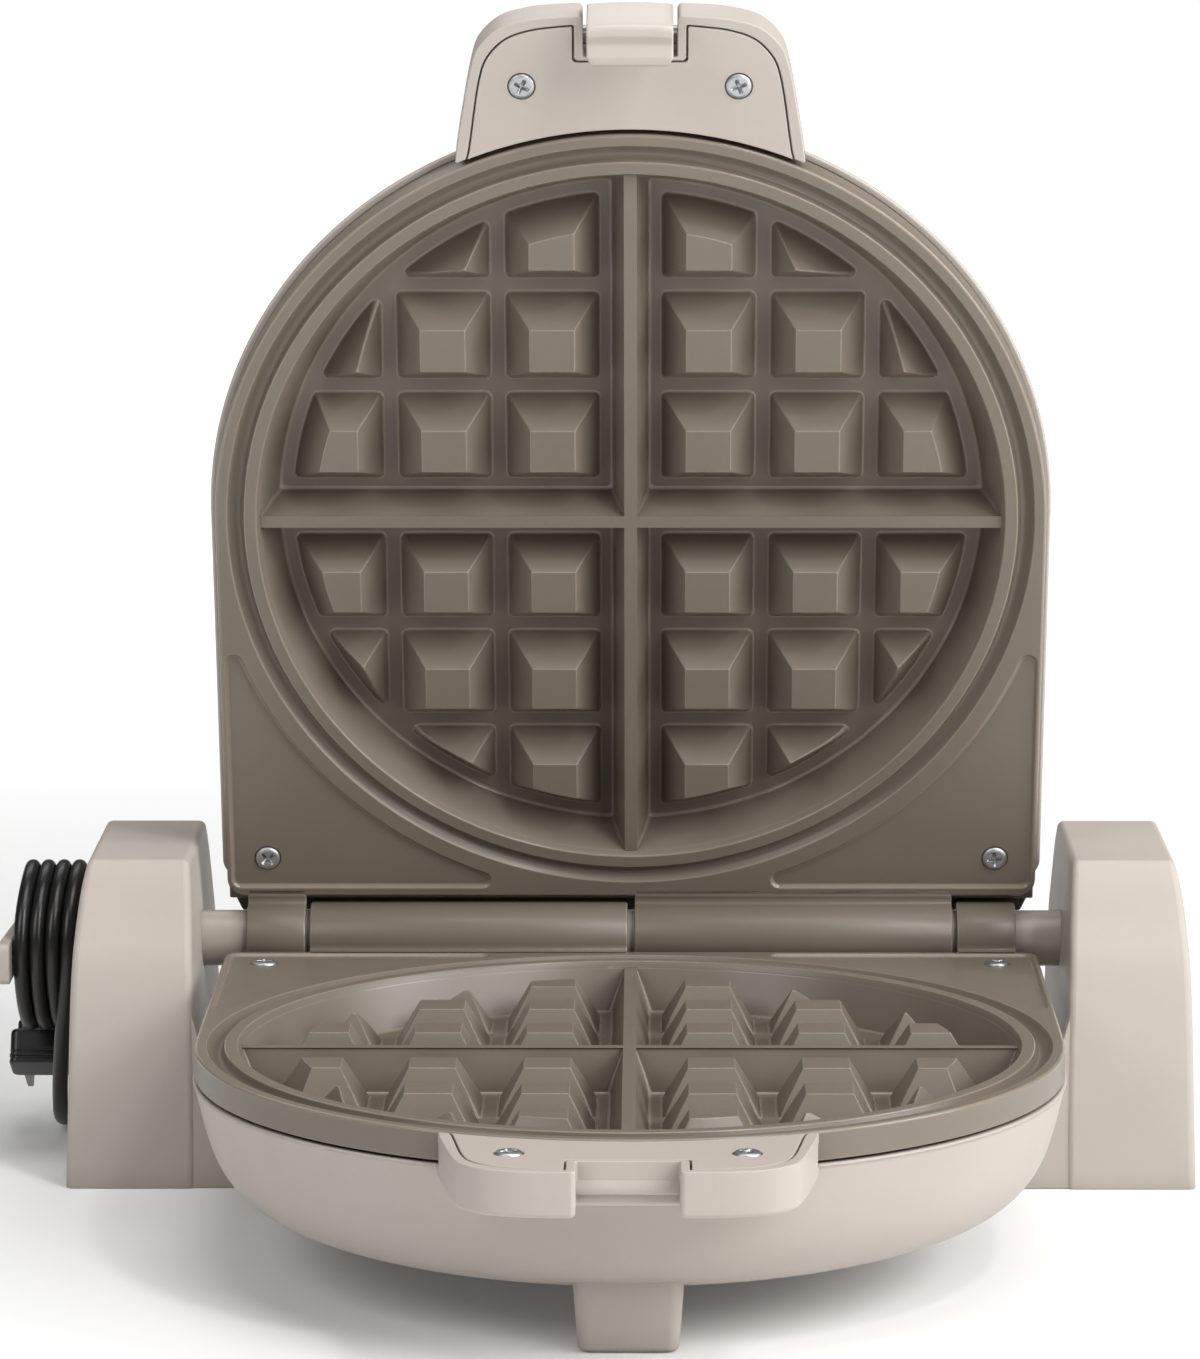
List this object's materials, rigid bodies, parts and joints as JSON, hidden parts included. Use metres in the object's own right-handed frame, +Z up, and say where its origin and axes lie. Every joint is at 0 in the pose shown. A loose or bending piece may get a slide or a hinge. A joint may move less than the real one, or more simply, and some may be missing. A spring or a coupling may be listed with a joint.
{
  "type": "belgian waffle maker",
  "caption": "Flip-over round waffle maker: two hinged D-shaped halves with deep grid plates on a pillar stand, latch on the lid handle, lead wound on a side spool.",
  "frame": {"origin": "centre of the flat underside of the stand's front crossbar, on the floor", "axes": "+X to the right of someone standing at the handle, +Y to the back, +Z up"},
  "size_m": [0.3036, 0.3515, 0.2977],
  "materials": {
    "cream_plastic": "satin moulded",
    "latch_plastic": "satin moulded",
    "coated_casting": "taupe non-stick coating, soft sheen",
    "painted_shaft": "satin paint",
    "zinc_steel": "zinc plated",
    "block_metal": "plain",
    "soft_pad": "matte",
    "element_sheath": "heat-darkened",
    "bright_sheet": "bright rolled",
    "control_ceramic": "plain",
    "wire_sleeve": "woven sleeve",
    "black_cord": "smooth, slight sheen",
    "black_plug": "smooth moulded",
    "plated_blades": "nickel plated"
  },
  "bodies": {
    "stand": {"stand_frame": "cream_plastic", "left_base_cover": "cream_plastic", "right_base_cover": "cream_plastic", "base_screws": "zinc_steel", "stand_pads": "soft_pad", "hinge_shaft": "painted_shaft", "left_shaft_block": "block_metal", "right_shaft_block": "block_metal", "shaft_set_screws": "zinc_steel", "cord_wrap_spool": "cream_plastic", "cord_wrap_screw": "zinc_steel", "cord_strain_relief": "black_cord", "terminal_block": "control_ceramic", "supply_wires": "wire_sleeve", "cord_lead": "black_cord", "cord_coil": "black_cord", "cord_tail": "black_cord", "plug_body": "black_plug", "plug_blades": "plated_blades"},
    "lower_half": {"lower_grid_plate": "coated_casting", "lower_housing": "cream_plastic", "lower_foot_pad": "soft_pad", "lower_handle_cover": "cream_plastic", "lower_handle_screws": "zinc_steel", "lower_plate_screws": "zinc_steel", "lower_heating_element": "element_sheath", "lower_element_straps": "bright_sheet", "lower_heat_reflector": "bright_sheet", "lower_thermostat": "control_ceramic", "lower_element_leads": "wire_sleeve"},
    "lid": {"lid_grid_plate": "coated_casting", "lid_housing": "cream_plastic", "lid_foot_pad": "soft_pad", "lid_handle_cover": "cream_plastic", "lid_handle_screws": "zinc_steel", "lid_plate_screws": "zinc_steel", "lid_heating_element": "element_sheath", "lid_element_straps": "bright_sheet", "lid_heat_reflector": "bright_sheet", "lid_thermal_fuse": "control_ceramic", "lid_element_leads": "wire_sleeve", "latch_pin": "zinc_steel"},
    "latch": {"latch_hook": "latch_plastic"}
  },
  "joints": [
    {"name": "flip", "type": "hinge", "parent": "stand", "child": "lower_half", "pos_m": [0, 0.04, 0.0545], "axis": [-1, 0, 0], "range_deg": [0, 180]},
    {"name": "lid_hinge", "type": "hinge", "parent": "lower_half", "child": "lid", "pos_m": [0, 0.04, 0.0545], "axis": [-1, 0, 0], "range_deg": [-72.9, 0]},
    {"name": "latch_pivot", "type": "hinge", "parent": "lid", "child": "latch", "pos_m": [0, -0.02719, 0.29058], "axis": [-1, 0, 0], "range_deg": [-12, 35]}
  ]
}
